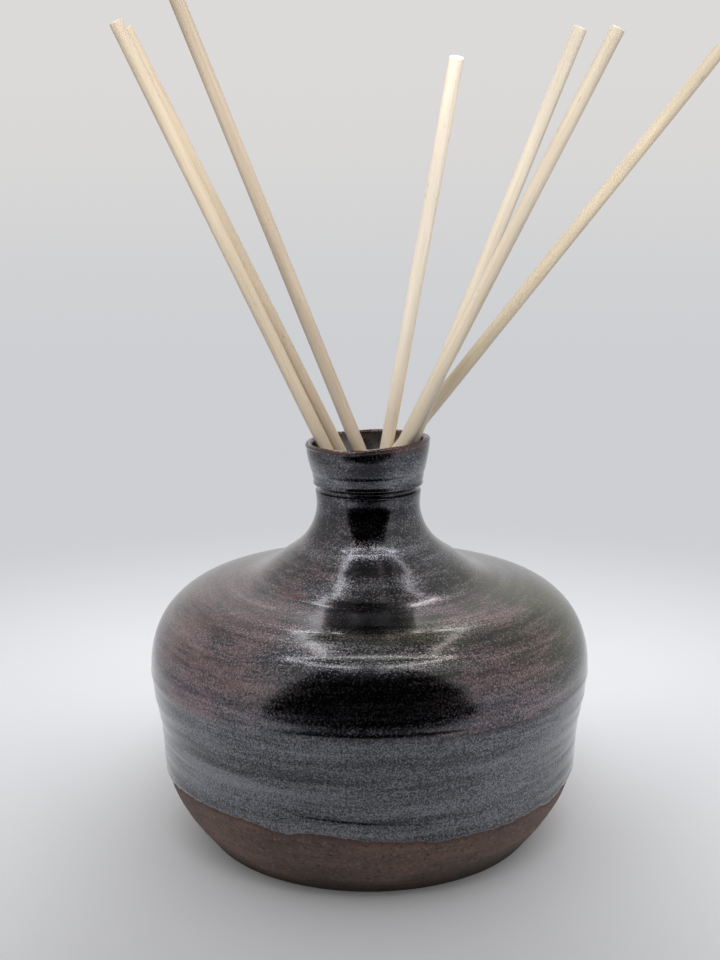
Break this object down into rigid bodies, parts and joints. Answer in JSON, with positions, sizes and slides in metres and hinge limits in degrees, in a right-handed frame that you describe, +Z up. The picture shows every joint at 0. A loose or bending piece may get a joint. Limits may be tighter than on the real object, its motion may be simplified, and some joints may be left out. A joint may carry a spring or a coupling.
{
  "type": "reed diffuser",
  "caption": "Squat hand-thrown stoneware reed diffuser: collared narrow neck, dark metallic glaze over a bare clay foot, and leaning wooden reeds that lift out.",
  "frame": {"origin": "centre of the bottle's foot, on the surface that it stands on", "axes": "+Z up along the bottle's axis; the front of the bottle faces -Y, and +X is to its right as seen from the front"},
  "size_m": [0.1749, 0.131, 0.2408],
  "materials": {
    "glazed_stoneware": "dark metallic satin glaze with silver speckle, bare reddish-brown clay at the foot",
    "oil": "clear amber liquid",
    "reed_wood": "unfinished pale rattan"
  },
  "bodies": {
    "bottle": {"bottle": "glazed_stoneware", "fragrance_oil": "oil"},
    "reed_1": {"reed_1": "reed_wood"},
    "reed_2": {"reed_2": "reed_wood"},
    "reed_3": {"reed_3": "reed_wood"},
    "reed_4": {"reed_4": "reed_wood"},
    "reed_5": {"reed_5": "reed_wood"},
    "reed_6": {"reed_6": "reed_wood"},
    "reed_7": {"reed_7": "reed_wood"}
  },
  "joints": [
    {"name": "reed_1_slide", "type": "slide", "parent": "bottle", "child": "reed_1", "axis": [-0.4184, -0.0754, 0.9051], "range_m": [0, 0.1293]},
    {"name": "reed_2_slide", "type": "slide", "parent": "bottle", "child": "reed_2", "axis": [-0.4315, -0.0627, 0.8999], "range_m": [0, 0.13]},
    {"name": "reed_3_slide", "type": "slide", "parent": "bottle", "child": "reed_3", "axis": [-0.3546, -0.1136, 0.9281], "range_m": [0, 0.1264]},
    {"name": "reed_4_slide", "type": "slide", "parent": "bottle", "child": "reed_4", "axis": [0.1567, -0.2793, 0.9473], "range_m": [0, 0.1241]},
    {"name": "reed_5_slide", "type": "slide", "parent": "bottle", "child": "reed_5", "axis": [0.3655, -0.0577, 0.929], "range_m": [0, 0.1263]},
    {"name": "reed_6_slide", "type": "slide", "parent": "bottle", "child": "reed_6", "axis": [0.437, -0.1418, 0.8882], "range_m": [0, 0.1315]},
    {"name": "reed_7_slide", "type": "slide", "parent": "bottle", "child": "reed_7", "axis": [0.6332, 0.1382, 0.7615], "range_m": [0, 0.112]}
  ]
}
